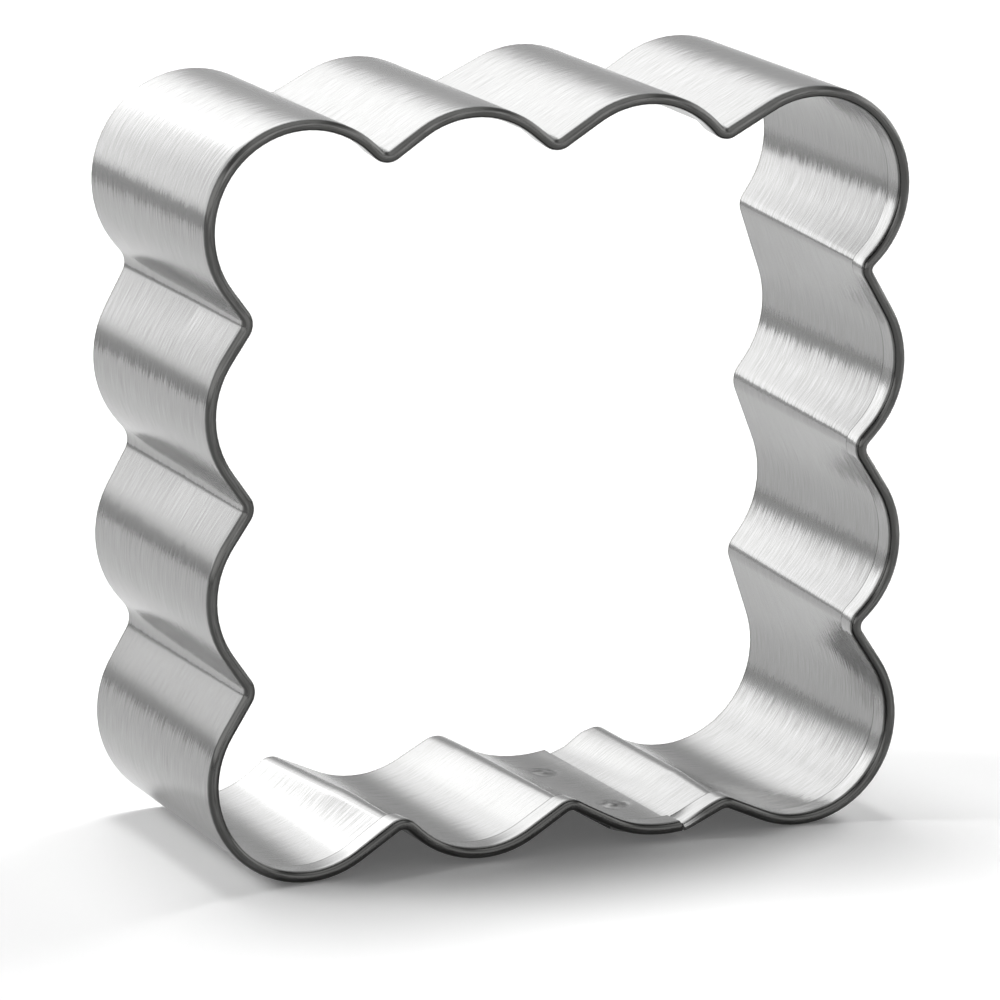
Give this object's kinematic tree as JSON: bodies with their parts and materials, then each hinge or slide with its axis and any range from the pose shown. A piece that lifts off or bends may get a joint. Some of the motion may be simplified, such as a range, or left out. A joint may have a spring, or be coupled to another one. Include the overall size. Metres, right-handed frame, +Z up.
{
  "type": "fluted square cookie cutter",
  "caption": "Square pastry cutter with scalloped sides, bent from one strip of tinplate with a hemmed rim and a lapped, spot-welded joint.",
  "frame": {"origin": "on the ground under the middle of the cutter, which stands on its two lower corner lobes", "axes": "+X to the right seen from the rim, +Y from the hemmed rim to the cutting edge, +Z up"},
  "size_m": [0.0596, 0.0254, 0.0603],
  "materials": {
    "tinplate": "bright tinplate with fine rolling marks along the strip",
    "fused_tinplate": "dull, pressed by the welding electrodes"
  },
  "bodies": {
    "root": {"cutter_band": "tinplate", "spot_weld_rim_side": "fused_tinplate", "spot_weld_edge_side": "fused_tinplate"}
  },
  "joints": []
}
